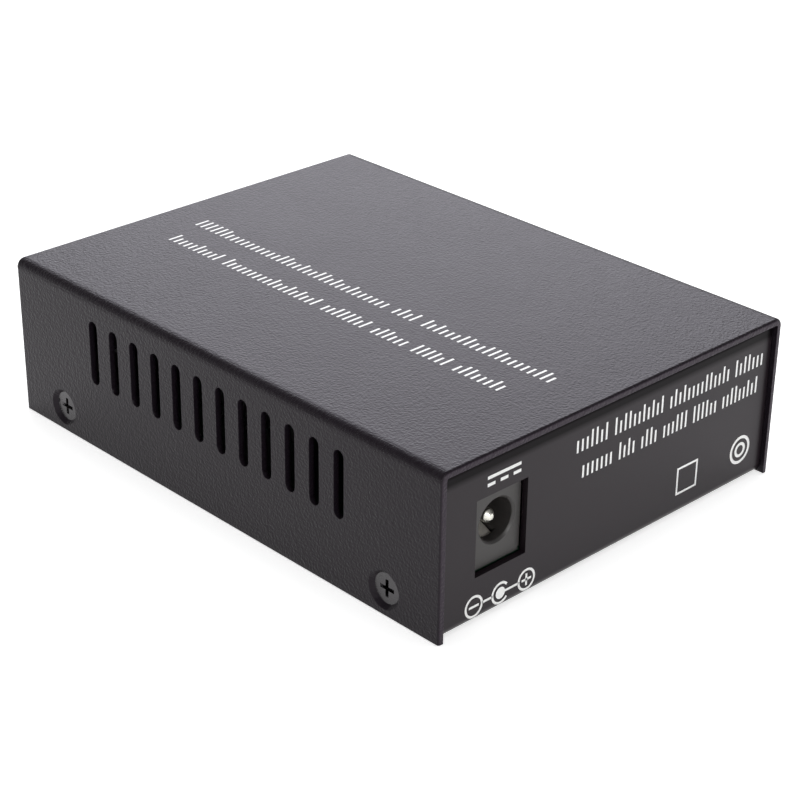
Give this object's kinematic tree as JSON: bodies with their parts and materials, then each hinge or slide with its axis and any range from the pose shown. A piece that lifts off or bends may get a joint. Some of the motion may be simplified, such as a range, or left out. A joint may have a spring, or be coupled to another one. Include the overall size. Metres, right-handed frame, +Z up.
{
  "type": "fibre media converter",
  "caption": "Small stand-alone network converter in a folded steel case, with a power socket at the rear, vented sides, and a copper jack, a module cage and light guides at the front.",
  "frame": {"origin": "middle of the underside, on the surface that the case stands on", "axes": "+Z up, +Y along the length towards the power socket, so the network ports face -Y; +X is the vented side nearest the power socket"},
  "size_m": [0.071, 0.094, 0.026],
  "materials": {
    "cover_paint": "fine textured powder coat, matt",
    "tray_paint": "satin paint",
    "screw_steel": "nickel plated, worn bright",
    "standoff_steel": "zinc plated",
    "board_laminate": "glass laminate under solder mask",
    "jack_plastic": "moulded, fine matt",
    "socket_plastic": "moulded, matt",
    "connector_plastic": "moulded, matt",
    "contact_nickel": "nickel plated spring bronze",
    "contact_gold": "gold plated",
    "pin_metal": "nickel plated, turned",
    "shield_metal": "bright tinplate",
    "cage_metal": "plain stainless sheet",
    "clear_plastic": "clear moulding, polished",
    "chip_plastic": "moulded epoxy",
    "lead_tin": "matt tin plate",
    "pad_silicone": "soft silicone pad",
    "sink_aluminium": "black anodised extrusion",
    "crystal_metal": "drawn nickel plated can",
    "can_aluminium": "bright drawn can",
    "ferrite": "pressed ferrite",
    "ceramic": "fired ceramic",
    "indicator_resin": "clear resin over a chip"
  },
  "bodies": {
    "root": {"top_cover": "cover_paint", "base_tray": "tray_paint", "cover_screws": "screw_steel", "board_standoffs": "standoff_steel", "board_screws": "screw_steel", "circuit_board": "board_laminate", "power_jack_housing": "jack_plastic", "power_jack_centre_pin": "pin_metal", "power_jack_pin_terminal": "contact_nickel", "power_jack_spring_contact": "contact_nickel", "power_jack_switch_contact": "contact_nickel", "copper_jack_shield": "shield_metal", "copper_jack_housing": "socket_plastic", "copper_jack_carrier": "socket_plastic", "copper_jack_contacts": "contact_gold", "module_cage": "cage_metal", "module_cage_fingers": "contact_nickel", "module_connector_housing": "connector_plastic", "module_connector_contacts": "contact_gold", "light_guide": "clear_plastic", "indicator_chips": "indicator_resin", "network_transformer": "chip_plastic", "network_transformer_leads": "lead_tin", "main_chip": "chip_plastic", "thermal_pad": "pad_silicone", "heat_sink": "sink_aluminium", "memory_chip": "chip_plastic", "memory_chip_leads": "lead_tin", "switching_regulator": "chip_plastic", "switching_regulator_leads": "lead_tin", "linear_regulator": "chip_plastic", "linear_regulator_leads": "lead_tin", "crystal_base": "chip_plastic", "crystal_can": "crystal_metal", "crystal_terminals": "lead_tin", "capacitor_cans": "can_aluminium", "capacitor_bases": "chip_plastic", "capacitor_terminals": "lead_tin", "power_inductor": "ferrite", "power_inductor_terminals": "lead_tin", "input_fuse": "ceramic", "diode": "chip_plastic", "diode_terminals": "lead_tin", "chip_capacitors": "ceramic", "chip_resistors": "chip_plastic"}
  },
  "joints": []
}
